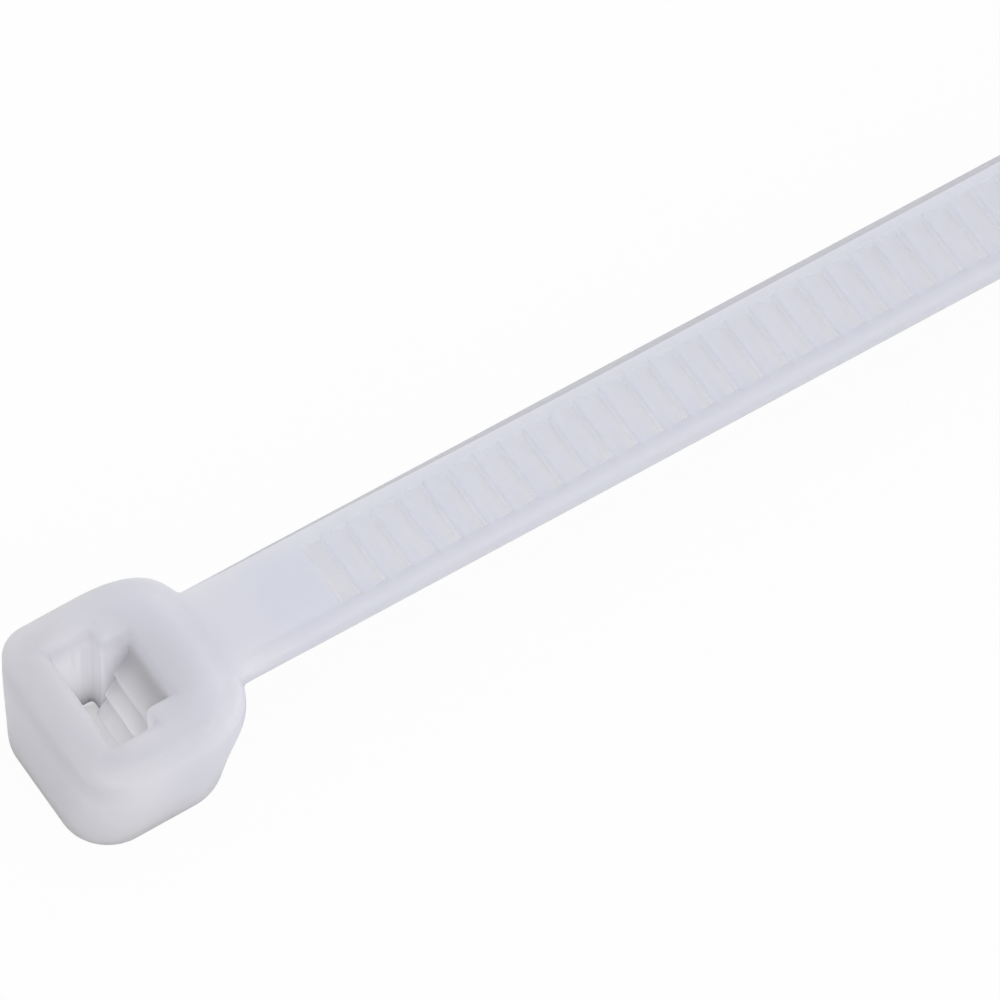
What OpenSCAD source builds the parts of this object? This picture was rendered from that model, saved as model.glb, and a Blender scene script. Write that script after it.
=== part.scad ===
// Self-locking nylon cable tie, moulded as one piece: a head with a strap passage and a sprung
// pawl, a strap with a row of ratchet teeth between two rails, and a narrow ribbed tail.
// The tie lies on the exit face of its head, toothed side up, and the strap falls to the table.
// +X runs along the strap from the head to the tail, +Z points up. Sizes are in millimetres.
// The origin is the middle of the strap passage, in the plane of the head's exit face.

/* [Strap] */
// Length of the tie, from the head's end wall to the tip of the tail
tie_l = 200; // [120:5:300]
// Width of the strap
strap_w = 4.8; // [4.4:0.1:5.2]
// Thickness of the strap over its rails
strap_t = 1.2; // [1.1:0.05:1.4]
// Radius on the long edges of the strap
strap_edge_r = 0.3; // [0.15:0.05:0.35]
// Radius of the fillet between the strap's smooth side and the head
root_fillet_r = 1; // [0.5:0.1:1.4]

/* [Teeth] */
// Width of each smooth rail beside the teeth
rail_w = 0.8; // [0.6:0.05:0.9]
// Distance from one tooth to the next
tooth_pitch = 1.25; // [1.1:0.05:1.6]
// Depth of the gaps between the teeth, from the top of the rails
tooth_depth = 0.5; // [0.35:0.05:0.55]
// Length of the flat crest of a tooth
tooth_land = 0.22; // [0.1:0.02:0.3]
// How far the crests lie below the top of the rails
crest_drop = 0.06; // [0.02:0.02:0.12]
// Smooth strap between the head and the first tooth
neck_l = 4.3; // [2:0.1:10]

/* [Tail] */
// Length of the tail after the last tooth
tail_l = 27; // [22:1:40]
// Length over which the tail narrows
taper_l = 7; // [5:0.5:10]
// Width of the tail at its tip
tail_w = 2.6; // [2:0.1:3.6]
// Thickness of the tail
tail_t = 0.95; // [0.8:0.05:1.05]
// Distance between the grip grooves
grip_pitch = 1.5; // [1.2:0.1:2]
// Radius of a grip groove
grip_r = 0.35; // [0.25:0.05:0.45]
// Depth of a grip groove
grip_depth = 0.14; // [0.08:0.02:0.2]

/* [Head] */
// Height of the head, from the exit face to the bundle face
head_h = 6.2; // [5.8:0.1:7]
// Length of the head at the bundle side
head_l = 9.2; // [8.8:0.1:10.5]
// Width of the head at the bundle side
head_w = 9; // [8.6:0.1:10.5]
// How far the end wall leans out towards the exit face
end_lean = 0.4; // [0:0.1:0.6]
// How far the wall at the strap leans in towards the exit face
strap_side_lean = 2.2; // [1:0.1:2.4]
// How far each side wall leans in towards the exit face
side_lean = 0.45; // [0.1:0.05:0.6]
// Corner radius at the end wall, at the bundle side
end_corner_r = 1.5; // [1.3:0.1:2.2]
// Radius of the shoulders beside the strap, at the bundle side
shoulder_r = 4.2; // [2.6:0.1:4.3]
// Corner radius at the exit face, all round
exit_corner_r = 2.3; // [1.6:0.1:2.6]
// Length of the ramp from the bundle face down to the strap
ramp_l = 2; // [1:0.1:2.6]
// Height of the bundle face over the strap's rails, and radius of its edge
bundle_edge_r = 0.5; // [0.3:0.05:0.7]
// Radius of the edge round the exit face
exit_edge_r = 0.6; // [0.3:0.05:0.9]

/* [Passage and pawl] */
// Thickness of the end wall at the bundle face
end_wall = 1.8; // [1.6:0.1:2.4]
// Clearance between the strap's edge and the passage, on each side
side_gap = 0.2; // [0.1:0.05:0.3]
// Clearance over the thickness of the strap at the exit face
exit_gap = 0.45; // [0.3:0.05:0.6]
// How much wider the passage is at the bundle face, on the end wall's side
lead_in = 0.4; // [0.2:0.05:0.6]
// Size of the chamfer round the mouth of the passage
mouth_chamfer = 0.25; // [0.1:0.05:0.35]
// Clearance between the pawl and the rails of a strap in the passage, on each side
pawl_rail_gap = 0.15; // [0.1:0.05:0.25]
// Clearance between the pawl and the walls of its pocket, on each side
pocket_gap = 0.3; // [0.2:0.05:0.35]
// How far the pocket's back leans in towards the exit face
pocket_lean = 1; // [0.6:0.1:1.2]
// Thickness of the living hinge of the pawl
hinge_t = 0.6; // [0.5:0.05:0.8]
// Thickness of the pawl behind its teeth
pawl_t = 0.95; // [0.8:0.05:1.05]
// Height of the pawl's tip over the exit face
tip_z = 1.2; // [0.8:0.1:1.6]
// How far the pawl's tip stands into the space of a strap in the passage
bite = 0.15; // [0.05:0.05:0.3]
// Depth of the pawl's teeth
pawl_tooth_depth = 0.35; // [0.25:0.05:0.4]
// Number of teeth on the pawl
pawl_teeth = 3; // [2:1:3]

/* [Hidden] */
$fn = 48;
nylon = [0.87, 0.87, 0.89];
past = 1;

// Strap, in its own frame: x from the head's edge, z from the top of the rails
strap_l = tie_l - head_l;
ladder_w = strap_w - 2 * rail_w;
root_l = 1.4;
ladder_l = strap_l - neck_l - tail_l;
tooth_count = floor(ladder_l / tooth_pitch);
tooth_lean = 0.08;
tooth_gap = 0.12;
taper_x = neck_l + tooth_count * tooth_pitch + 3;
tip_r = tail_w / 2;
thin_l = 3;
grip_x = taper_x + taper_l;
grip_count = floor((strap_l - tip_r - grip_x) / grip_pitch);

// Head
passage_w = strap_w + 2 * side_gap;
passage_t = strap_t + exit_gap;
pawl_w = ladder_w - 2 * pawl_rail_gap;
pocket_w = pawl_w + 2 * pocket_gap;
end_x = -passage_t / 2 - lead_in - end_wall;
strap_x = end_x + head_l;
strap_z = head_h - bundle_edge_r;
corner_steps = 14;
edge_steps = 4;
fillet_steps = 8;
fillet_sink = 0.2;
ring_size = 4 * (corner_steps + 1);

// The strap falls from the head until the smooth side of its tip meets the table
droop = asin((strap_z - strap_t) / strap_l);

// Pawl: its toothed front runs from the hinge to the tip
hinge = [passage_t / 2 + 1.3, head_h - 0.6];
pocket_x = hinge[0] + 1.1;
pocket_z = hinge[1] - hinge_t - 0.8;
tip_x = abutment_x(tip_z) + strap_t - bite + pawl_tooth_depth;
pawl_run = [tip_x, tip_z] - hinge;
pawl_l = norm(pawl_run);
pawl_dir = pawl_run / pawl_l;
pawl_out = [pawl_dir[1], -pawl_dir[0]];
pawl_pitch = min(tooth_pitch, (pawl_l - 0.9) / pawl_teeth);

// Place of the passage's wall at the end of the head, at height z
function abutment_x(z) = -passage_t / 2 - lead_in * z / head_h;

// Point of the pawl's side view, s along its front and d out of it
function on_pawl(s, d) = hinge + s * pawl_dir + d * pawl_out;

// Share of the way up from the exit face to the level of the rails
function rise(z) = min(1, z / strap_z);

// Place of the head's leaning wall under the strap, at height z
function wall_x(z) = strap_x - strap_side_lean * (1 - rise(z));

// Heights and edge insets of the head's outlines, from the exit face to the bundle face
levels = concat(
    [for (i = [0 : edge_steps]) edge_point(exit_edge_r, 90 * i / edge_steps)],
    [for (i = [0 : edge_steps]) let (p = edge_point(bundle_edge_r, 90 - 90 * i / edge_steps))
        [head_h - p[0], p[1]]]
);

// Height and inset of a point on a rounded edge, a degrees round from the flat face
function edge_point(r, a) = [r * (1 - cos(a)), r * (1 - sin(a))];

// Arc of a corner with its centre at c, from the angle a over a quarter turn
function corner(c, r, a) =
    [for (i = [0 : corner_steps]) c + r * [cos(a + 90 * i / corner_steps), sin(a + 90 * i / corner_steps)]];

// Outline of the head at height z, drawn in by inset, or out where inset is below zero
function outline(z, inset) =
    let (
        k = 1 - rise(z),
        x0 = end_x - end_lean * k + inset,
        ramp = ramp_l * max(0, z - strap_z) / bundle_edge_r,
        x1 = wall_x(z) - (inset < 0 ? inset : max(inset * k, ramp)),
        y1 = head_w / 2 - side_lean * k - inset,
        r0 = end_corner_r * (1 - k) + exit_corner_r * k - inset,
        r1 = shoulder_r * (1 - k) + exit_corner_r * k - inset
    )
    concat(
        corner([x1 - r1, y1 - r1], r1, 0),
        corner([x0 + r0, y1 - r0], r0, 90),
        corner([x0 + r0, -y1 + r0], r0, 180),
        corner([x1 - r1, -y1 + r1], r1, 270)
    );

// Closed form through the head's outlines at the given heights and insets, from the lowest up
module loft(rings) {
    points = [for (ring = rings) for (p = outline(ring[0], ring[1])) [p[0], p[1], ring[0]]];
    top = (len(rings) - 1) * ring_size;
    polyhedron(
        points = points,
        faces = concat(
            [[for (j = [0 : ring_size - 1]) j]],
            [[for (j = [ring_size - 1 : -1 : 0]) top + j]],
            [for (i = [0 : len(rings) - 2]) for (j = [0 : ring_size - 1])
                let (a = i * ring_size + j, b = i * ring_size + (j + 1) % ring_size)
                [a, a + ring_size, b + ring_size]],
            [for (i = [0 : len(rings) - 2]) for (j = [0 : ring_size - 1])
                let (a = i * ring_size + j, b = i * ring_size + (j + 1) % ring_size)
                [a, b + ring_size, b]]
        )
    );
}

// Extrudes a side view, drawn in X and Z, to the width w about the middle plane
module side_view(w) {
    rotate([90, 0, 0])
        linear_extrude(w, center = true)
            children();
}

// Space for a strap through the head, tapering from the bundle face to the exit face
module passage() {
    side_view(passage_w)
        polygon([
            [abutment_x(-past), -past],
            [passage_t / 2, -past],
            [passage_t / 2, head_h + past],
            [abutment_x(head_h + past), head_h + past]
        ]);
}

// Chamfers round the end wall's side and both ends of the passage's mouth
module mouth() {
    low = head_h - mouth_chamfer;
    high = head_h + past;
    flare = mouth_chamfer + past;
    intersection() {
        side_view(passage_w + 2 * flare)
            polygon([
                [abutment_x(low), low],
                [passage_t / 2, low],
                [passage_t / 2, high],
                [abutment_x(low) - flare, high]
            ]);
        translate([abutment_x(low) - flare, 0, 0])
            rotate([90, 0, 90])
                linear_extrude(passage_t / 2 - abutment_x(low) + flare)
                    polygon([
                        [-passage_w / 2, low],
                        [passage_w / 2, low],
                        [passage_w / 2 + flare, high],
                        [-passage_w / 2 - flare, high]
                    ]);
    }
}

// Room behind and in front of the pawl, open to both faces of the head
module pocket() {
    side_view(pocket_w)
        polygon([
            [0, -past],
            [pocket_x - pocket_lean * (1 + past / pocket_z), -past],
            [pocket_x, pocket_z],
            [hinge[0], hinge[1] - hinge_t],
            [hinge[0], head_h + past],
            [0, head_h + past]
        ]);
}

// Sprung pawl: it hangs from its hinge at the bundle side and points to the exit face
module pawl() {
    first = pawl_l - pawl_teeth * pawl_pitch;
    side_view(pawl_w)
        polygon(concat(
            [hinge + [past / 2, 0], hinge],
            [for (i = [0 : pawl_teeth - 1]) for (p = [
                on_pawl(first + i * pawl_pitch, 0),
                on_pawl(first + (i + 1) * pawl_pitch - 0.12, pawl_tooth_depth)
            ]) p],
            [
                on_pawl(pawl_l, 0),
                on_pawl(pawl_l, -pawl_t / 2),
                on_pawl(pawl_l - 0.5, -pawl_t),
                on_pawl(1.5, -pawl_t),
                hinge - [0, hinge_t],
                hinge + [past / 2, -hinge_t]
            ]
        ));
}

// Head with its passage and pawl
module head() {
    difference() {
        loft(levels);
        passage();
        mouth();
        pocket();
    }
    pawl();
}

// Cross-section of the strap without its teeth, rounded along its edges
module strap_section() {
    x = strap_w / 2 - strap_edge_r;
    translate([-x, -strap_t])
        square([2 * x, strap_t]);
    translate([-strap_w / 2, -strap_t + strap_edge_r])
        square([strap_w, strap_t - 2 * strap_edge_r]);
    for (i = [-1, 1])
        for (z = [-strap_edge_r, -strap_t + strap_edge_r])
            translate([i * x, z])
                circle(strap_edge_r);
}

// Plan of the strap: parallel to the taper, then narrow, with a round tip
module strap_plan() {
    slope = (strap_w - tail_w) / 2 / taper_l;
    wide = strap_w / 2 + slope * taper_l;
    end = strap_l - tip_r;
    translate([-root_l - past, -wide])
        square([root_l + past + taper_x - taper_l, 2 * wide]);
    polygon([
        [taper_x - taper_l, -wide],
        [taper_x + taper_l, -tail_w / 2],
        [end, -tail_w / 2],
        [end, tail_w / 2],
        [taper_x + taper_l, tail_w / 2],
        [taper_x - taper_l, wide]
    ]);
    translate([end, 0])
        circle(tip_r);
}

// Gaps between the teeth: each tooth has a steep face to the head and a long slope to the tail
module tooth_gaps() {
    side_view(ladder_w)
        polygon(concat(
            [[neck_l, past], [neck_l, -tooth_depth]],
            [for (i = [1 : tooth_count]) let (x = neck_l + i * tooth_pitch) for (p = [
                [x - tooth_land - tooth_lean - tooth_gap, -tooth_depth],
                [x - tooth_land - tooth_lean, -tooth_depth],
                [x - tooth_land, -crest_drop],
                [x, -crest_drop]
            ]) p],
            [[neck_l + tooth_count * tooth_pitch, past]]
        ));
}

// Wedge that thins the tail on its toothed side
module tail_thinning() {
    drop = strap_t - tail_t;
    side_view(strap_w + 2 * past)
        polygon([
            [taper_x, 0],
            [taper_x + thin_l, -drop],
            [strap_l + past, -drop],
            [strap_l + past, past],
            [taper_x, past]
        ]);
}

// Rounded grooves across both sides of the tail
module grip_grooves() {
    for (i = [0 : grip_count - 1])
        for (z = [-strap_t + tail_t + grip_r - grip_depth, -strap_t - grip_r + grip_depth])
            translate([grip_x + i * grip_pitch, 0, z])
                rotate([90, 0, 0])
                    cylinder(r = grip_r, h = strap_w, center = true);
}

// Strap, teeth and tail, straight along X with the top of the rails at z = 0
module strap() {
    difference() {
        intersection() {
            translate([-root_l, 0, 0])
                rotate([90, 0, 90])
                    linear_extrude(root_l + strap_l)
                        strap_section();
            translate([0, 0, -strap_t - past])
                linear_extrude(strap_t + 2 * past)
                    strap_plan();
        }
        tooth_gaps();
        tail_thinning();
        grip_grooves();
    }
}

// Fillet in the corner between the strap's smooth side and the leaning wall of the head. It
// follows the curve of the shoulders: the head's own outline, drawn out along the arc of the fillet
module root_fillet() {
    wall = [strap_side_lean, strap_z] / norm([strap_side_lean, strap_z]);
    z = strap_z - strap_t;
    centre = [wall_x(z) + root_fillet_r * (1 - wall[0]) / wall[1], z - root_fillet_r];
    low = centre[1] + root_fillet_r * wall[0];
    arc = [for (i = [0 : fillet_steps])
        let (a = 180 - asin(wall[0]) - (90 - asin(wall[0])) * i / fillet_steps)
        centre + root_fillet_r * [cos(a), sin(a)]];
    intersection() {
        loft(concat(
            [[low - fillet_sink, fillet_sink]],
            [for (p = arc) [p[1], min(0, wall_x(p[1]) - p[0])]],
            [[z + strap_t / 3, wall_x(z) - centre[0]]]
        ));
        side_view(strap_w - 2 * strap_edge_r)
            polygon([
                [wall_x(low) - root_l, low - fillet_sink],
                [strap_x + 3 * root_fillet_r, low - fillet_sink],
                [strap_x + 3 * root_fillet_r, strap_z],
                [wall_x(low) - root_l, strap_z]
            ]);
    }
}

// The whole tie
module cable_tie() {
    color(nylon) {
        head();
        root_fillet();
        translate([strap_x, 0, strap_z])
            rotate([0, droop, 0])
                strap();
    }
}

cable_tie();
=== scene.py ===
import bpy
import bmesh
import math
from mathutils import Matrix, Vector


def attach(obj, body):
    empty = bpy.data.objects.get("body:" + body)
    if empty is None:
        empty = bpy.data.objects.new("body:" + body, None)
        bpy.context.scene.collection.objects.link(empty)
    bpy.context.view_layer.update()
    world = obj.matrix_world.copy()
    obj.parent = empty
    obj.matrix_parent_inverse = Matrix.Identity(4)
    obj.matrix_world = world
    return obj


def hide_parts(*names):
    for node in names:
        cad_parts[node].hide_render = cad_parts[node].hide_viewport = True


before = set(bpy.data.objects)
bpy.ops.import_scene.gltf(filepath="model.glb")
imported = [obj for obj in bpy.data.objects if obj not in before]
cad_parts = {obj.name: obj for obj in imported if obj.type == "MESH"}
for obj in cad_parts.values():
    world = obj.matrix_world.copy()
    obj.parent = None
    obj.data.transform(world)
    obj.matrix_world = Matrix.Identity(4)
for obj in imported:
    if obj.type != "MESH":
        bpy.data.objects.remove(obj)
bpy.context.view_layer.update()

# A cable tie of natural nylon, moulded in one piece. Lengths are in millimetres, in the part's frame:
# +X from the head to the tail, +Z up out of the toothed side. The mesh is made metres at the end.
mm = 0.001


def bySrgb(hexText):  # sRGB hex to a linear colour
    parts = [int(hexText[i:i + 2], 16) / 255 for i in (1, 3, 5)]
    return [c / 12.92 if c <= 0.04045 else ((c + 0.055) / 1.055) ** 2.4 for c in parts] + [1.0]


def newObject(name, verts, faces):
    mesh = bpy.data.meshes.new(name)
    mesh.from_pydata([tuple(v) for v in verts], [], faces)
    obj = bpy.data.objects.new(name, mesh)
    bpy.context.scene.collection.objects.link(obj)
    return obj


def loftObject(name, rings):  # closed form through equal rings, anticlockwise from above, lowest first
    n = len(rings[0])
    top = (len(rings) - 1) * n
    faces = [list(range(n - 1, -1, -1)), list(range(top, top + n))]
    for i in range(len(rings) - 1):
        for j in range(n):
            k = (j + 1) % n
            faces.append([i * n + j, i * n + k, (i + 1) * n + k, (i + 1) * n + j])
    return newObject(name, [p for ring in rings for p in ring], faces)


def withModifier(obj, kind, settings):  # adds one modifier, applies it and returns the object
    mod = obj.modifiers.new(kind.lower(), kind)
    for key, value in settings.items():
        setattr(mod, key, value)
    graph = bpy.context.evaluated_depsgraph_get()
    mesh = bpy.data.meshes.new_from_object(obj.evaluated_get(graph))
    obj.modifiers.clear()
    old = obj.data
    obj.data = mesh
    bpy.data.meshes.remove(old)
    return obj


def removeObject(obj):
    mesh = obj.data
    bpy.data.objects.remove(obj)
    bpy.data.meshes.remove(mesh)


# ---- camera, floor and light ----

cameraLook = {
    "place": (-145.9422, -258.3664, 524.1427),  # mm, straight at the middle of the picture
    "right": (0.84276962, -0.53827430, 0.00037629),
    "up": (0.46362414, 0.72624557, 0.50756284),
    "back": (-0.27348131, -0.42758408, 0.86161466),
    "lens": 520.68,
    "sensor": 36.0,
}
camData = bpy.data.cameras.new("benchCamera")
camData.lens = cameraLook["lens"]
camData.sensor_width = cameraLook["sensor"]
camData.clip_start = 0.02
camData.clip_end = 20.0
camera = bpy.data.objects.new("benchCamera", camData)
turn = Matrix((cameraLook["right"], cameraLook["up"], cameraLook["back"])).transposed()
camera.matrix_world = Matrix.Translation(Vector(cameraLook["place"]) * mm) @ turn.to_4x4()
bpy.context.scene.collection.objects.link(camera)
bpy.context.scene.camera = camera

bpy.context.scene.view_settings.view_transform = "Standard"


def addNode(tree, kind, settings=None, links=None):  # one node with its settings and its incoming links
    node = tree.nodes.new(kind)
    for key, value in (settings or {}).items():
        if key in node.inputs.keys():
            node.inputs[key].default_value = value
        else:
            setattr(node, key, value)
    for key, source in (links or {}).items():
        tree.links.new(source, node.inputs[key])
    return node


def newMaterial(name):
    mat = bpy.data.materials.new(name)
    mat.use_nodes = True
    mat.node_tree.nodes.clear()
    return mat


room = {
    "paper": "#f2f2f2",
    "skyColour": "#ffffff",
    "skyStrength": 0.8,
    "skyBright": (0.8, -0.55, 0.25),  # the side of the room that the windows are on
    "skyDrift": 0.18,  # how much brighter that side is, and how much darker the other
    "floorGlow": 0.95,  # share of plain white that the camera sees in the floor; the rest takes the shadow
    "paintedShadowUnderHead": (2.6, 3.0, 0.33),  # mm from the origin, and the share of glow left to the paper under the head, a painted shadow
    "floorHalf": 1500.0,
}


def makeFloor():
    h = room["floorHalf"] * mm
    floor = newObject("benchPaper", [(-h, -h, 0), (h, -h, 0), (h, h, 0), (-h, h, 0)], [[0, 1, 2, 3]])
    mat = newMaterial("whitePaper")  # matt studio paper: plain white, with only a trace of the shadow
    tree = mat.node_tree
    light = addNode(tree, "ShaderNodeLightPath")
    share = addNode(tree, "ShaderNodeMath", {"operation": "MULTIPLY"}, {0: light.outputs["Is Camera Ray"]})
    share.inputs[1].default_value = room["floorGlow"]
    place = addNode(tree, "ShaderNodeTexCoord")
    away = addNode(tree, "ShaderNodeVectorMath", {"operation": "LENGTH"}, {0: place.outputs["Object"]})
    # painted shadow: the paper under the head keeps less of its white glow
    near, far, least = room["paintedShadowUnderHead"]
    under = addNode(tree, "ShaderNodeMapRange",
                    {"From Min": near * mm, "From Max": far * mm, "To Min": least},
                    {"Value": away.outputs["Value"]})
    glow = addNode(tree, "ShaderNodeMath", {"operation": "MULTIPLY"},
                   {0: share.outputs[0], 1: under.outputs[0]})
    paper = addNode(tree, "ShaderNodeBsdfDiffuse", {"Color": bySrgb(room["paper"])})
    white = addNode(tree, "ShaderNodeEmission", {"Color": bySrgb("#ffffff"), "Strength": 1.0})
    mix = addNode(tree, "ShaderNodeMixShader", None,
                  {0: glow.outputs[0], 1: paper.outputs[0], 2: white.outputs[0]})
    addNode(tree, "ShaderNodeOutputMaterial", None, {"Surface": mix.outputs[0]})
    floor.data.materials.append(mat)
    return floor


def makeSky():
    world = bpy.data.worlds.new("softRoom")
    world.use_nodes = True
    tree = world.node_tree
    tree.nodes.clear()
    light = addNode(tree, "ShaderNodeLightPath")
    ray = addNode(tree, "ShaderNodeTexCoord")
    facing = addNode(tree, "ShaderNodeVectorMath", {"operation": "DOT_PRODUCT"},
                     {0: ray.outputs["Generated"]})
    facing.inputs[1].default_value = room["skyBright"]
    dark, bright = (room["skyStrength"] * (1 + sign * room["skyDrift"]) for sign in (-1, 1))
    level = addNode(tree, "ShaderNodeMapRange",
                    {"From Min": -1.0, "From Max": 1.0, "To Min": dark, "To Max": bright},
                    {"Value": facing.outputs["Value"]})
    dim = addNode(tree, "ShaderNodeBackground", {"Color": bySrgb(room["skyColour"])},
                  {"Strength": level.outputs[0]})
    plain = addNode(tree, "ShaderNodeBackground", {"Color": bySrgb("#ffffff"), "Strength": 1.0})
    mix = addNode(tree, "ShaderNodeMixShader", None,
                  {0: light.outputs["Is Camera Ray"], 1: dim.outputs[0], 2: plain.outputs[0]})
    addNode(tree, "ShaderNodeOutputWorld", None, {"Surface": mix.outputs[0]})
    bpy.context.scene.world = world


# Lamps, none of them seen by the camera: where each stands and looks (mm), its size (mm) and its power (W)
softBoxes = {
    "frontBox": {"at": (60, -620, 300), "to": (10, 0, 3), "size": 420, "power": 0.5},
    "topBox": {"at": (120, 60, 700), "to": (10, 0, 3), "size": 380, "power": 0.2},
    # two that stand for the light that milky nylon lets through its thin walls into the opening
    "pocketGlow": {"at": (-0.85, 0, 2.3), "to": (3, 0, 2.1), "size": 4.2, "power": 0.00004},
    "exitGlow": {"at": (-0.2, 0.6, 0.06), "to": (0, 0.4, 3), "size": 1.5, "power": 0.000004},
}


def makeLights():
    for name, box in softBoxes.items():
        data = bpy.data.lights.new(name, "AREA")
        data.shape = "SQUARE"
        data.size = box["size"] * mm
        data.energy = box["power"]
        lamp = bpy.data.objects.new(name, data)
        place = Vector(box["at"])
        lamp.location = place * mm
        lamp.rotation_euler = (Vector(box["to"]) - place).to_track_quat("-Z", "Y").to_euler()
        lamp.visible_camera = False
        bpy.context.scene.collection.objects.link(lamp)


makeFloor()
makeSky()
makeLights()
print("room: paper floor, sky and", len(softBoxes), "lamps")


# ---- the head: leaning walls, squarish shoulders and a ramp down to the strap ----

head = {
    "height": 6.2,
    "railZ": 5.7,  # top of the strap's rails at the head
    "endX": -3.025,
    "strapX": 6.175,
    "halfWidth": 4.5,
    "endLean": 0.4,
    "strapLean": 2.2,
    "sideLean": 0.45,
    "endCorner": 1.5,
    "shoulder": 4.2,
    "exitCorner": 2.3,
    "squareness": 0.42,  # of the shoulders at the bundle face; 0 is a plain arc
    "pullFrom": 3.2,  # above this height the shoulders draw in towards the rails,
    "pullIn": 1.1,  # by this much
    "narrowBy": 0.13,  # and the sides a little
    "rampLength": 2.1,
    "exitEdge": 0.6,
    "cornerSteps": 24,
    "edgeSteps": 14,
}


def edgePoint(radius, turnBy):  # height and inset of a point on a rounded edge
    a = math.radians(turnBy)
    return radius * (1 - math.cos(a)), radius * (1 - math.sin(a))


def wallX(z):
    return head["strapX"] - head["strapLean"] * (1 - min(1, z / head["railZ"]))


def headOutline(z, inset):
    k = 1 - min(1, z / head["railZ"])
    x0 = head["endX"] - head["endLean"] * k + inset
    fall = head["height"] - head["railZ"]
    t = min(1, max(0, (head["height"] - z) / fall))
    slide = 0.5 - math.sin(math.asin(1 - 2 * t) / 3)  # the ramp is an S in side view
    rise = (min(z, head["railZ"]) - head["pullFrom"]) / (head["railZ"] - head["pullFrom"])
    rise = max(0, rise)
    pull = head["pullIn"] * rise ** 2
    ramp = (head["rampLength"] - pull) * (1 - slide)
    x1 = wallX(z) - pull - (inset if inset < 0 else max(inset * k, ramp))
    y1 = head["halfWidth"] - head["sideLean"] * k - head["narrowBy"] * rise ** 2 - inset
    r0 = head["endCorner"] * (1 - k) + head["exitCorner"] * k - inset
    r1 = head["shoulder"] * (1 - k) + head["exitCorner"] * k - inset
    square = 1 - head["squareness"] * (1 - k) ** 2
    ring = []
    for cx, cy, r, start, power in ((x1 - r1, y1 - r1, r1, 0, square), (x0 + r0, y1 - r0, r0, 90, 1),
                                    (x0 + r0, -y1 + r0, r0, 180, 1), (x1 - r1, -y1 + r1, r1, 270, square)):
        for i in range(head["cornerSteps"] + 1):
            a = math.radians(start + 90 * i / head["cornerSteps"])
            dx, dy = (math.copysign(abs(c) ** power, c) for c in (math.cos(a), math.sin(a)))
            ring.append((cx + r * dx, cy + r * dy, z))
    return ring


def headBody():
    steps = head["edgeSteps"]
    levels = [edgePoint(head["exitEdge"], 90 * i / steps) for i in range(steps + 1)]
    fall = head["height"] - head["railZ"]
    wall = head["railZ"] - head["exitEdge"]
    levels += [(head["exitEdge"] + wall * i / steps, 0) for i in range(1, steps)]
    for i in range(2 * steps + 1):
        z, inset = edgePoint(fall, 90 * (1 - (i / (2 * steps)) ** 2))
        levels.append((head["height"] - z, inset))
    return loftObject("headBody", [headOutline(z, inset) for z, inset in levels])


# ---- the opening through the head: the strap's passage and the pawl's pocket, a T from above ----

opening = {
    "passageHalfWidth": 2.6,
    "passageX": 0.825,
    "leadIn": 0.4,
    "pocketHalfWidth": 1.75,
    "hingeX": 2.125,
    "hingeZ": 5.6,
    "hingeThickness": 0.6,
    "pocketBack": ((0.0, 2.225), (4.2, 3.225), (5.0, 2.125)),  # height and place of the pocket's back
    "mouthLip": 0.42,  # rounding of the edge at the bundle face
    "exitLip": 0.2,
    "past": 1.0,
    "softArea": (-1.4, 2.75, 0.4, 6.0),  # lowest x, half width, lowest and highest z of what is smoothed
    "paleArea": (-1.5, 2.8, 0.1),  # lowest x, half width and lowest z of the painted light in the opening
    "paleOver": 2.0,  # depth over which it turns pale
}


def pocketBackX(z):
    points = opening["pocketBack"]
    if z <= points[0][0]:
        return points[0][1]
    for (z0, x0), (z1, x1) in zip(points, points[1:]):
        if z <= z1:
            return x0 + (x1 - x0) * (z - z0) / (z1 - z0)
    return points[-1][1]


def openingRing(z, out):
    x0 = -opening["passageX"] - opening["leadIn"] * z / head["height"] - out
    x1 = opening["passageX"] + out
    x2 = pocketBackX(z) + out
    y1 = opening["passageHalfWidth"] + out
    y2 = opening["pocketHalfWidth"] + out
    return [(x0, -y1, z), (x1, -y1, z), (x1, -y2, z), (x2, -y2, z),
            (x2, y2, z), (x1, y2, z), (x1, y1, z), (x0, y1, z)]


def openingCutter():
    low, high = opening["exitLip"], opening["mouthLip"]
    levels = [(-opening["past"], low), (0, low)]
    for a in (30, 60, 90):
        z = low * math.sin(math.radians(a))
        levels.append((z, low - z))
    levels += [(z, 0) for z, x in opening["pocketBack"][1:]]
    for a in (0, 22.5, 45, 67.5, 90):
        out, down = edgePoint(high, a)
        levels.append((head["height"] - down, out))
    levels.append((head["height"] + opening["past"], high))
    return loftObject("openingCutter", [openingRing(z, out) for z, out in levels])


# ---- the pawl: it hangs from its hinge and points to the exit face ----

pawl = {
    "halfWidth": 1.45,
    "thickness": 0.95,
    "tip": (0.4976, 1.2),
    "teeth": 3,
    "toothDepth": 0.35,
    "pitch": 1.25,
    "lean": 0.12,
    "bare": 0.9,  # length next to the hinge that has no teeth
    "root": 0.5,  # how far it reaches into the head
    "tipCut": 0.5,
    "webLength": 1.5,
}


def sideForm(name, profile, halfWidth):  # an anticlockwise side view in X and Z, made into a bar along Y
    n = len(profile)
    verts = [(x, -halfWidth, z) for x, z in profile] + [(x, halfWidth, z) for x, z in profile]
    faces = [list(range(n)), list(range(2 * n - 1, n - 1, -1))]
    faces += [[j, n + j, n + (j + 1) % n, (j + 1) % n] for j in range(n)]
    return newObject(name, verts, faces)


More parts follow.
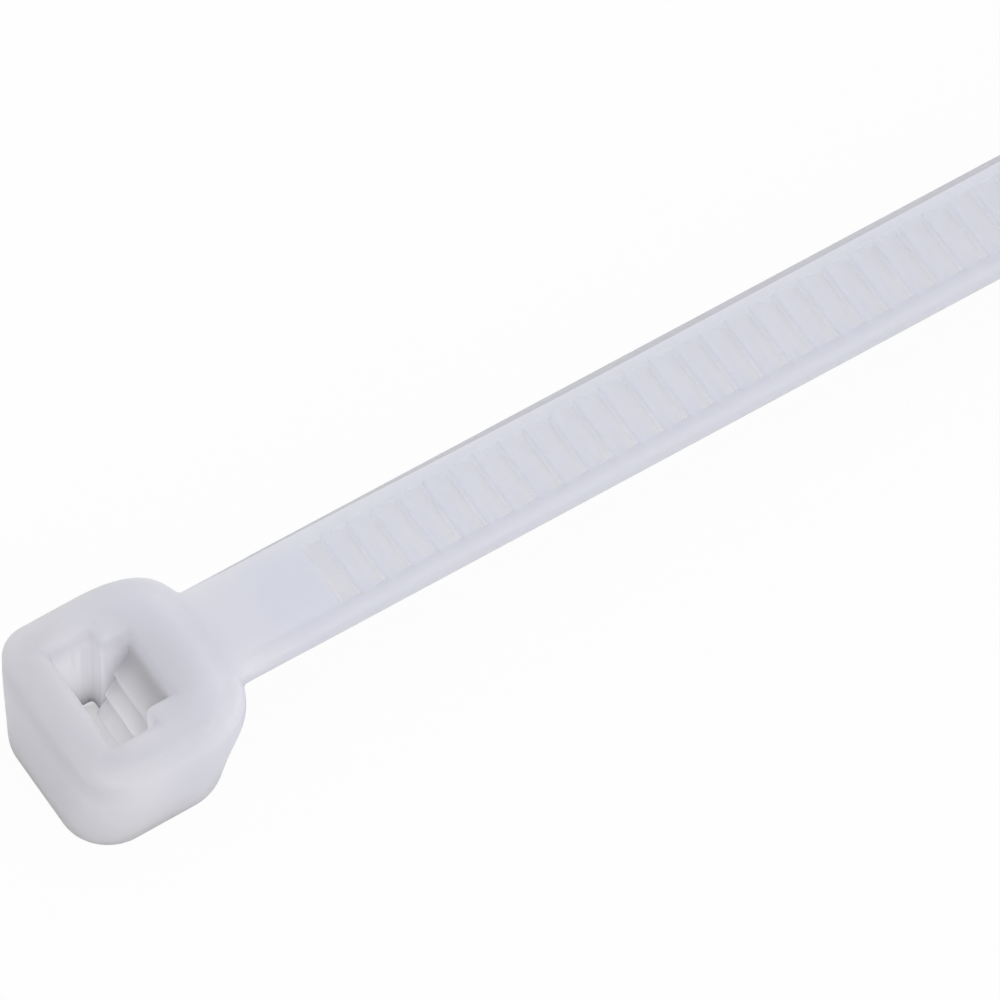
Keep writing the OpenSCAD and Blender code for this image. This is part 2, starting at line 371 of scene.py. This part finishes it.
def pawlBody():
    hinge = Vector((opening["hingeX"], opening["hingeZ"]))
    run = Vector(pawl["tip"]) - hinge
    length = run.length
    along = run / length
    out = Vector((along.y, -along.x))
    pitch = min(pawl["pitch"], (length - pawl["bare"]) / pawl["teeth"])
    first = length - pawl["teeth"] * pitch

    def at(s, d):
        return tuple(hinge + along * s + out * d)

    root, low = hinge.x + pawl["root"], hinge.y - opening["hingeThickness"]
    profile = [(root, hinge.y), tuple(hinge)]
    for i in range(pawl["teeth"]):
        start = first + i * pitch
        profile += [at(start, 0), at(first + (i + 1) * pitch - pawl["lean"], pawl["toothDepth"])]
    t = pawl["thickness"]
    profile += [at(length, 0), at(length, -t / 2), at(length - pawl["tipCut"], -t)]
    profile += [at(pawl["webLength"], -t), (hinge.x, low), (root, low)]
    return sideForm("pawlBody", profile, pawl["halfWidth"])


# ---- the strap: rails, ratchet teeth, taper and ribbed tail ----

strap = {
    "length": 190.8,
    "width": 4.8,
    "thickness": 1.2,
    "edge": 0.3,
    "droop": 1.3515,  # degrees, until the tip meets the table
    "ladderHalf": 1.6,
    "neck": 4.3,
    "pitch": 1.25,
    "teeth": 127,
    "depth": 0.5,
    "crestDrop": 0.06,
    "land": 0.22,
    "lean": 0.08,
    "floor": 0.12,
    "dish": 0.07,  # how far the middle lies below the outer edges of the rails
    "dishLength": 1.8,  # it deepens over this length
    "softness": 0.14,  # rounding of a tooth's edges
    "rootIn": 1.4,
    "joinAt": 2.2,  # where the head's skin ends and the strap's rings begin
    "joinStep": 0.25,
    "filletRadius": 1.0,
    "filletSink": 0.2,
    "filletSteps": 10,
    "taperAt": 166.05,
    "taperLength": 7.0,
    "tailHalf": 1.3,
    "thinLength": 3.0,
    "thinBy": 0.25,
    "gripPitch": 1.5,
    "gripRadius": 0.35,
    "gripDepth": 0.14,
    "gripCount": 10,
}
droop = math.radians(strap["droop"])


def onStrap(u, y, z):  # from the strap's own frame to the part's
    return (head["strapX"] + u * math.cos(droop) + z * math.sin(droop), y,
            head["railZ"] - u * math.sin(droop) + z * math.cos(droop))


def rounded(points, radii, steps=2):  # a path with its corners rounded
    path = [Vector(points[0])]
    for before, here, after, r in zip(points, points[1:], points[2:], radii):
        p0, p1, p2 = Vector(before), Vector(here), Vector(after)
        d0, d2 = (p0 - p1), (p2 - p1)
        cut = min(r, d0.length * 0.45, d2.length * 0.45)
        a, b = p1 + d0.normalized() * cut, p1 + d2.normalized() * cut
        for i in range(steps + 1):
            t = i / steps
            path.append(a * (1 - t) ** 2 + p1 * 2 * t * (1 - t) + b * t ** 2)
    path.append(Vector(points[-1]))
    return path


def ladderPath():  # side view of the teeth: a steep face to the head, a long slope to the tail
    soft = strap["softness"]
    low, high = -strap["depth"], -strap["crestDrop"]
    points = [(strap["joinAt"], 0), (strap["neck"], 0), (strap["neck"] + 0.06, low)]
    radii = [soft, 2 * soft]
    for i in range(1, strap["teeth"] + 1):
        x = strap["neck"] + i * strap["pitch"]
        steep = x - strap["land"] - strap["lean"]
        points += [(steep - strap["floor"] / 2, low), (steep, low), (x - strap["land"], high), (x, high)]
        radii += [2 * soft, soft, soft, 2 * soft]
    end = strap["neck"] + strap["teeth"] * strap["pitch"]
    points += [(end + 0.1, 0), (end + 1.0, 0)]
    radii += [soft, soft]
    return rounded(points, radii)


def planHalf(u):  # half width of the strap
    full = strap["width"] / 2
    t = (u - strap["taperAt"]) / strap["taperLength"]
    half = full if t <= 0 else max(strap["tailHalf"], full - (full - strap["tailHalf"]) * t)
    endAt = strap["length"] - strap["tailHalf"]
    if u > endAt:
        half = min(half, math.sqrt(max(0.0, strap["tailHalf"] ** 2 - (u - endAt) ** 2)))
    return half


def gripDip(u):  # depth of a grip groove at u
    first = strap["taperAt"] + strap["taperLength"]
    i = round((u - first) / strap["gripPitch"])
    if not 0 <= i < strap["gripCount"]:
        return 0.0
    off = u - first - i * strap["gripPitch"]
    r = strap["gripRadius"]
    return max(0.0, math.sqrt(max(0.0, r * r - off * off)) - r + strap["gripDepth"])


def strapRing(u, ladderZ):
    full = strap["width"] / 2
    half = planHalf(u)
    scale = half / full
    t = min(1, max(0, (u - strap["taperAt"]) / strap["thinLength"]))
    dip = gripDip(u)
    top = -strap["thinBy"] * t - dip
    bottom = -strap["thickness"] + dip
    left = strap["length"] - u
    edge = min(strap["edge"], half * 0.6)
    if left < strap["edge"]:  # the tip's end is rounded too
        shrink = strap["edge"] - math.sqrt(max(0.0, strap["edge"] ** 2 - (strap["edge"] - left) ** 2))
        top, bottom = top - shrink, bottom + shrink
    lad = strap["ladderHalf"]
    grow = min(1, max(0, (u - strap["joinAt"]) / strap["dishLength"]))
    dish = strap["dish"] * grow * grow * (3 - 2 * grow)
    ladderZ = min(ladderZ, -dish)
    brim = -dish * 0.8
    wall = min(0.08, (brim - ladderZ) * 0.5)
    inner = [(0.0, ladderZ), (lad * 0.55, ladderZ), (lad - 0.12, ladderZ), (lad - 0.02, ladderZ + wall),
             (lad, brim - min(0.05, (brim - ladderZ) * 0.5)), (lad + 0.07, brim + dish * 0.1)]
    side = [(y * scale, top + z) for y, z in inner]
    for i in range(5):
        a = math.radians(90 - 22.5 * i)
        side.append((half - edge + edge * math.cos(a), top - edge + edge * math.sin(a)))
    for i in range(5):
        a = math.radians(-22.5 * i)
        side.append((half - edge + edge * math.cos(a), bottom + edge + edge * math.sin(a)))
    side.append((0.0, bottom))
    ring = side + [(-y, z) for y, z in side[-2:0:-1]]
    return [onStrap(u, y, z) for y, z in ring]


def strapStations():
    path = [(p.x, p.y) for p in ladderPath()]
    lastTooth = path[-1][0]
    stations = path[:1] + [(strap["joinAt"] + strap["joinStep"] * i, 0.0) for i in range(1, 8)] + path[1:]
    first = strap["taperAt"] + strap["taperLength"]
    reach = math.sqrt(strap["gripRadius"] ** 2 - (strap["gripRadius"] - strap["gripDepth"]) ** 2)
    extra = [strap["taperAt"] + strap["thinLength"] * f for f in (0, 0.25, 0.5, 0.75, 1)]
    extra += [strap["taperAt"] + strap["taperLength"] * f for f in (0.6, 0.8, 0.97)]
    for i in range(strap["gripCount"]):
        middle = first + i * strap["gripPitch"]
        extra += [middle + reach * f for f in (-1, -0.94, -0.6, -0.3, 0, 0.3, 0.6, 0.94, 1)]
    endAt = strap["length"] - strap["tailHalf"]
    extra += [endAt + strap["tailHalf"] * math.sin(math.radians(a)) for a in range(0, 90, 6)]
    extra.append(strap["length"] - 0.002)
    stations += [(x, 0.0) for x in sorted(extra) if x > lastTooth + 0.01]
    return stations


def strapStub():  # the strap's first millimetres, which are blended into the head
    rings = []
    for u in (-strap["rootIn"], 0, 1, 2, 3, strap["neck"] - 0.3):
        rings.append([onStrap(u, p[0], p[1]) for p in strapSection()])
    n = len(rings[0])
    verts = [p for ring in rings for p in ring]
    last = (len(rings) - 1) * n
    faces = [list(range(n)), list(range(last + n - 1, last - 1, -1))]
    for i in range(len(rings) - 1):
        for j in range(n):
            k = (j + 1) % n
            faces.append([i * n + j, (i + 1) * n + j, (i + 1) * n + k, i * n + k])
    return newObject("strapStub", verts, faces)


def strapSection():
    half, edge, bottom = strap["width"] / 2, strap["edge"], -strap["thickness"]
    ring = []
    for cy, cz, start in ((half - edge, -edge, 0), (-half + edge, -edge, 90),
                          (-half + edge, bottom + edge, 180), (half - edge, bottom + edge, 270)):
        for i in range(7):
            a = math.radians(start + 15 * i)
            ring.append((cy + edge * math.cos(a), cz + edge * math.sin(a)))
    return ring


def rootFillet():  # fills the corner under the strap; the head's outline is drawn out along the arc
    wall = Vector((head["strapLean"], head["railZ"])).normalized()
    z = head["railZ"] - strap["thickness"]
    r = strap["filletRadius"]
    centre = Vector((wallX(z) + r * (1 - wall.x) / wall.y, z - r))
    low = centre.y + r * wall.x
    start = 180 - math.degrees(math.asin(wall.x))
    rings = [headOutline(low - strap["filletSink"], strap["filletSink"])]
    for i in range(strap["filletSteps"] + 1):
        a = math.radians(start - (start - 90) * i / strap["filletSteps"])
        x, h = centre.x + r * math.cos(a), centre.y + r * math.sin(a)
        rings.append(headOutline(h, min(0, wallX(h) - x)))
    rings.append(headOutline(z + strap["thickness"] / 3, wallX(z) - centre.x))
    body = loftObject("rootFillet", rings)
    x0, x1 = wallX(low) - strap["rootIn"], head["strapX"] + 3 * r
    box = sideForm("filletBox", [(x0, low - strap["filletSink"]), (x1, low - strap["filletSink"]),
                                 (x1, head["railZ"]), (x0, head["railZ"])],
                   strap["width"] / 2 - strap["edge"])
    withModifier(body, "BOOLEAN", {"operation": "INTERSECT", "solver": "EXACT", "object": box})
    removeObject(box)
    return body


# ---- the whole tie: the head's skin over all its parts, knitted to the strap's rings ----

skin = {
    "grid": 0.085,
    "smoothing": 7,
    "rampSmoothing": 60,
    "rampArea": (3.6, 7.8, 2.3, 5.0),  # lowest and highest x, half width and lowest z
    "rampFade": (0.8, 0.6),  # along and across
    "pawlSmoothing": 14,
    "headFaces": 84000,
    "joinGap": 0.12,
    "sharpFrom": 50,  # degrees
}


def joined(objects):
    whole = bmesh.new()
    for obj in objects:
        whole.from_mesh(obj.data)
    mesh = bpy.data.meshes.new("headSkin")
    whole.to_mesh(mesh)
    whole.free()
    result = bpy.data.objects.new("headSkin", mesh)
    bpy.context.scene.collection.objects.link(result)
    for obj in objects:
        removeObject(obj)
    return result


def angleAbout(point):  # angle of a point about the middle of the strap's section
    x, y, z = point
    dx, dz = x - head["strapX"], z - head["railZ"]
    h = dx * math.sin(droop) + dz * math.cos(droop)
    return math.atan2(h + strap["thickness"] / 2, y)


def markRamp(obj):  # weights for the surface between the bundle face and the strap
    group = obj.vertex_groups.new(name="ramp")
    x0, x1, half, z0 = skin["rampArea"]
    along, across = skin["rampFade"]
    for i, v in enumerate(obj.data.vertices):
        x, y, z = v.co
        if z > z0 and x > x0 and abs(y) < half:
            weight = min(1, (x - x0) / along, (x1 - x) / along, (half - abs(y)) / across)
            if weight > 0:
                group.add([i], weight, "REPLACE")


def markPawl(obj):  # and for the surface in the opening, whose edges are soft too
    group = obj.vertex_groups.new(name="pawl")
    x0, half, z0, z1 = opening["softArea"]
    inside = [i for i, v in enumerate(obj.data.vertices)
              if x0 < v.co.x < pocketBackX(v.co.z) + 0.1 and abs(v.co.y) < half and z0 < v.co.z < z1]
    group.add(inside, 1.0, "REPLACE")


def makeTie():
    body = headBody()
    cutter = openingCutter()
    withModifier(body, "BOOLEAN", {"operation": "DIFFERENCE", "solver": "EXACT", "object": cutter})
    removeObject(cutter)
    whole = joined([body, pawlBody(), strapStub(), rootFillet()])
    withModifier(whole, "REMESH", {"mode": "VOXEL", "voxel_size": skin["grid"], "adaptivity": 0.0})
    withModifier(whole, "SMOOTH", {"factor": 0.5, "iterations": skin["smoothing"]})
    markRamp(whole)
    markPawl(whole)
    for name in ("ramp", "pawl"):
        withModifier(whole, "SMOOTH",
                     {"factor": 0.5, "iterations": skin[name + "Smoothing"], "vertex_group": name})
    print("head: skin of", len(whole.data.polygons), "quads")
    count = sum(len(p.vertices) - 2 for p in whole.data.polygons)
    withModifier(whole, "DECIMATE", {"ratio": min(1.0, skin["headFaces"] / count)})

    # cut the stub square and knit the strap's rings to it
    bm = bmesh.new()
    bm.from_mesh(whole.data)
    removeObject(whole)
    cutAt = strap["joinAt"] - skin["joinGap"]
    along = Vector((math.cos(droop), 0, -math.sin(droop)))
    bmesh.ops.bisect_plane(bm, geom=bm.verts[:] + bm.edges[:] + bm.faces[:], dist=1e-5,
                           plane_co=onStrap(cutAt, 0, 0), plane_no=along, clear_outer=True)
    rim = {v for e in bm.edges if e.is_boundary for v in e.verts}
    rim = sorted(rim, key=lambda v: angleAbout(v.co))
    rings = []
    for u, z in strapStations():
        rings.append([bm.verts.new(p) for p in strapRing(u, z)])
    for a, b in zip(rings, rings[1:]):
        n = len(a)
        for j in range(n):
            k = (j + 1) % n
            bm.faces.new([a[j], a[k], b[k], b[j]])
    bm.faces.new(rings[-1])
    first = sorted(rings[0], key=lambda v: angleAbout(v.co))
    knit(bm, rim, first)
    bmesh.ops.recalc_face_normals(bm, faces=bm.faces[:])
    bmesh.ops.triangulate(bm, faces=[f for f in bm.faces if len(f.verts) > 4])
    for v in bm.verts:
        v.co = v.co * mm
    mesh = bpy.data.meshes.new("mouldedTie")
    bm.to_mesh(mesh)
    openEdges = sum(1 for e in bm.edges if not e.is_manifold)
    bm.free()
    markPaintedPocketLight(mesh)
    mesh.shade_smooth()
    mesh.set_sharp_from_angle(angle=math.radians(skin["sharpFrom"]))
    tie = bpy.data.objects.new("mouldedTie", mesh)
    bpy.context.scene.collection.objects.link(tie)
    print("tie:", sum(len(p.vertices) - 2 for p in mesh.polygons), "triangles,", openEdges, "open edges")
    return tie


def markPaintedPocketLight(mesh):  # how far each point lies down the opening, from 0 at its mouth to 1, as the share of painted light there
    share = mesh.attributes.new("paintedLight", "FLOAT", "POINT")
    x0, half, z0 = opening["paleArea"]
    for i, v in enumerate(mesh.vertices):
        x, y, z = v.co / mm
        inside = x0 < x < pocketBackX(z) + 0.15 and abs(y) < half and z > z0
        t = min(1.0, max(0.0, (head["height"] - 0.05 - z) / opening["paleOver"])) if inside else 0.0
        share.data[i].value = t * t * (3 - 2 * t)


def knit(bm, one, two):  # closes the band between two loops sorted by angle
    a = [angleAbout(v.co) for v in one]
    b = [angleAbout(v.co) for v in two]
    i = j = 0
    na, nb = len(one), len(two)
    while i < na or j < nb:
        nextA = a[i + 1] if i + 1 < na else a[0] + 2 * math.pi if i < na else math.inf
        nextB = b[j + 1] if j + 1 < nb else b[0] + 2 * math.pi if j < nb else math.inf
        if nextA <= nextB:
            bm.faces.new([one[i % na], one[(i + 1) % na], two[j % nb]])
            i += 1
        else:
            bm.faces.new([one[i % na], two[(j + 1) % nb], two[j % nb]])
            j += 1


tie = makeTie()


# ---- natural nylon ----

nylon = {
    "head": "#d0cfd5",
    "strap": "#cfd1e4",
    "tail": "#e4e5f2",  # painted light: the strap is painted paler to its tail, as less light comes back off the near paper
    "tailFrom": (45, 150),
    "headToStrap": (-2, 9),  # mm along the tie, over which the one colour turns into the other
    "clouded": 0.07,  # how much darker the milkier drifts are
    "cloudSize": 3.5,  # mm
    "paintedLight": "#f9f8ff",  # painted light: the paler colour laid on the long walls, the neck and the tooth gaps
    # painted light: the pocket's colour, paler down the opening
    "pocket": "#f1f0f6",
    "paintedShade": "#a6a6ae",  # painted shade: the grey laid on the strap's edges, the head's end and its upper rim
    "farEdge": (1.98, 2.05, 0.2),  # painted shade along the far edge, mm from the middle: start of the grey, full grey, and shift at the head
    "farEdgeTo": 26,  # mm along the tie, where that shift has faded
    "nearEdge": (1.5, 1.8, 0.3),  # painted shade on the other edge: start, full grey and its share
    "endEdge": (1.0, 3.0, 0.32),  # painted shade on the head's end: from, to (mm from the origin) and share
    "endHeight": (3.8, 5.6),
    "rim": (3.1, 4.2, 0.22),  # mm from the head's middle: painted shade on its upper edge, which would shine too brightly
    "rimMiddle": 1.2,
    "rimHeight": (5.6, 6.0),
    "rimSide": (2.0, 3.2),
    "wall": (3.4, 4.0, 0.13),  # mm from the middle: painted light on the long walls, which are lit from both sides
    "wallHeight": (5.7, 5.0),
    "wallFrom": (-2.4, -0.4),
    "neck": (1.5, 5.2, 9.0, 0.22),  # mm along the tie: painted light, a paler colour where the head thins to the strap
    "neckHeight": (4.6, 5.4),
    "gapPaintedLight": (0.1, 0.5, 0.25, 0.46),  # painted light in the tooth gaps: mm deep in a gap, and how much paler at each rail
    "rails": (-1.2, 1.2),
    "ladder": (1.72, 1.58),  # mm from the middle, where the teeth end
    "ladderFrom": (9, 10),
    "smoothSide": (0.9, 0.6),  # mm under the rails, where the paleness ends
    "grainSize": 0.12,  # mm, the spark-eroded mould's grain, drawn a little coarse to show
    "grainHeight": 0.0006,  # mm
    "roughness": (0.42, 0.54),
    "gloss": 0.35,
    "ior": 1.53,
    "depth": 6.0,  # mm that light travels in it
    "tailDepth": 2.5,
}


def makeNylon():
    # Natural polyamide 66, injection moulded: milky and half clear, with a satin skin from the mould; its
    # hollows, walls and neck carry painted light and its thin edges painted shade
    mat = newMaterial("naturalNylon66")
    tree = mat.node_tree
    place = addNode(tree, "ShaderNodeTexCoord")
    axes = addNode(tree, "ShaderNodeSeparateXYZ", None, {0: place.outputs["Object"]})

    def ramp(source, low, high, first=0.0, last=1.0):  # smooth step between two places, in mm
        return addNode(tree, "ShaderNodeMapRange",
                       {"interpolation_type": "SMOOTHSTEP", "From Min": low * mm, "From Max": high * mm,
                        "To Min": first, "To Max": last}, {"Value": source}).outputs[0]

    def maths(operation, a, b):
        node = addNode(tree, "ShaderNodeMath", {"operation": operation})
        for socket, value in zip(node.inputs, (a, b)):
            if isinstance(value, (int, float)):
                socket.default_value = value
            else:
                tree.links.new(value, socket)
        return node.outputs[0]

    def blend(share, a, b):
        node = addNode(tree, "ShaderNodeMix", {"data_type": "RGBA"})
        for socket, value in zip((node.inputs[0], node.inputs[6], node.inputs[7]), (share, a, b)):
            if isinstance(value, bpy.types.NodeSocket):
                tree.links.new(value, socket)
            else:
                socket.default_value = value
        return node.outputs[2]

    x, y, z = axes.outputs[0], axes.outputs[1], axes.outputs[2]
    clouds = addNode(tree, "ShaderNodeTexNoise",
                     {"Scale": 1 / (nylon["cloudSize"] * mm), "Detail": 3.0, "Roughness": 0.5},
                     {"Vector": place.outputs["Object"]})
    grain = addNode(tree, "ShaderNodeTexNoise",
                    {"Scale": 1 / (nylon["grainSize"] * mm), "Detail": 2.0, "Roughness": 0.6},
                    {"Vector": place.outputs["Object"]})
    colour = blend(ramp(x, *nylon["headToStrap"]), bySrgb(nylon["head"]), bySrgb(nylon["strap"]))
    # painted light: paler towards the tail
    colour = blend(ramp(x, *nylon["tailFrom"]), colour, bySrgb(nylon["tail"]))
    milky = maths("MULTIPLY", clouds.outputs["Fac"], nylon["clouded"])
    colour = blend(milky, colour, bySrgb("#000000"))
    # painted shade: grey along the strap's edges, on the head's end and on its upper rim
    strapShare = ramp(x, head["strapX"] - 1, head["strapX"] + 1)
    start, full, less = nylon["farEdge"]
    shift = ramp(x, head["strapX"], nylon["farEdgeTo"], less * mm, 0)
    far = ramp(maths("SUBTRACT", y, shift), start, full)
    start, full, most = nylon["nearEdge"]
    near = ramp(maths("MULTIPLY", y, -1), start, full, 0, most)
    edge = maths("MULTIPLY", strapShare, maths("ADD", far, near))
    start, full, most = nylon["endEdge"]
    end = maths("MULTIPLY", ramp(maths("MULTIPLY", x, -1), start, full, 0, most),
                ramp(z, *nylon["endHeight"]))
    sideways = maths("ABSOLUTE", y, 0)
    start, full, most = nylon["rim"]
    off = maths("SUBTRACT", x, nylon["rimMiddle"] * mm)
    away = maths("SQRT", maths("ADD", maths("MULTIPLY", off, off), maths("MULTIPLY", y, y)), 0)
    rim = maths("MULTIPLY", ramp(away, start, full, 0, most), ramp(z, *nylon["rimHeight"]))
    rim = maths("MULTIPLY", rim, ramp(sideways, *nylon["rimSide"]))
    grey = maths("MAXIMUM", maths("MAXIMUM", edge, end), rim)
    colour = blend(grey, colour, bySrgb(nylon["paintedShade"]))
    # painted light: the long walls paler
    start, full, most = nylon["wall"]
    wall = maths("MULTIPLY", ramp(sideways, start, full, 0, most), ramp(z, *nylon["wallHeight"]))
    wall = maths("MULTIPLY", wall, ramp(x, *nylon["wallFrom"]))
    colour = blend(wall, colour, bySrgb(nylon["paintedLight"]))
    # painted light: the neck and the tooth gaps paler
    start, top, stop, most = nylon["neck"]
    neck = maths("MULTIPLY", ramp(x, start, top), ramp(x, stop, top))
    neck = maths("MULTIPLY", neck, ramp(z, *nylon["neckHeight"], 0, most))
    fall = maths("MULTIPLY", maths("SUBTRACT", x, head["strapX"] * mm), math.sin(droop))
    deep = maths("SUBTRACT", head["railZ"] * mm, maths("ADD", z, fall))  # depth under the rails
    start, full, farMost, nearMost = nylon["gapPaintedLight"]
    gap = maths("MULTIPLY", ramp(deep, start, full), ramp(y, *nylon["rails"], nearMost, farMost))
    between = maths("MULTIPLY", ramp(sideways, *nylon["ladder"]), ramp(x, *nylon["ladderFrom"]))
    pale = maths("MAXIMUM", neck, maths("MULTIPLY", gap, between))
    pale = maths("MULTIPLY", pale, ramp(deep, *nylon["smoothSide"]))
    colour = blend(pale, colour, bySrgb(nylon["paintedLight"]))
    # painted light: paler down the opening
    pocket = addNode(tree, "ShaderNodeAttribute", {"attribute_name": "paintedLight"})
    colour = blend(pocket.outputs["Fac"], colour, bySrgb(nylon["pocket"]))
    least, most = nylon["roughness"]
    satin = addNode(tree, "ShaderNodeMapRange",
                    {"From Min": 0.3, "From Max": 0.7, "To Min": least, "To Max": most},
                    {"Value": clouds.outputs["Fac"]})
    depth = ramp(x, *nylon["tailFrom"], nylon["depth"] * mm, nylon["tailDepth"] * mm)
    bump = addNode(tree, "ShaderNodeBump", {"Strength": 1.0, "Distance": nylon["grainHeight"] * mm},
                   {"Height": grain.outputs["Fac"]})
    shader = addNode(tree, "ShaderNodeBsdfPrincipled",
                     {"IOR": nylon["ior"], "Specular IOR Level": nylon["gloss"], "Subsurface Weight": 1.0,
                      "Subsurface Radius": (1.0, 1.0, 1.05)},
                     {"Base Color": colour, "Subsurface Scale": depth, "Roughness": satin.outputs[0],
                      "Normal": bump.outputs[0]})
    addNode(tree, "ShaderNodeOutputMaterial", None, {"Surface": shader.outputs[0]})
    return mat


tie.data.materials.append(makeNylon())
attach(tie, "root")
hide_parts("cable_tie")
print("nylon: on the tie")
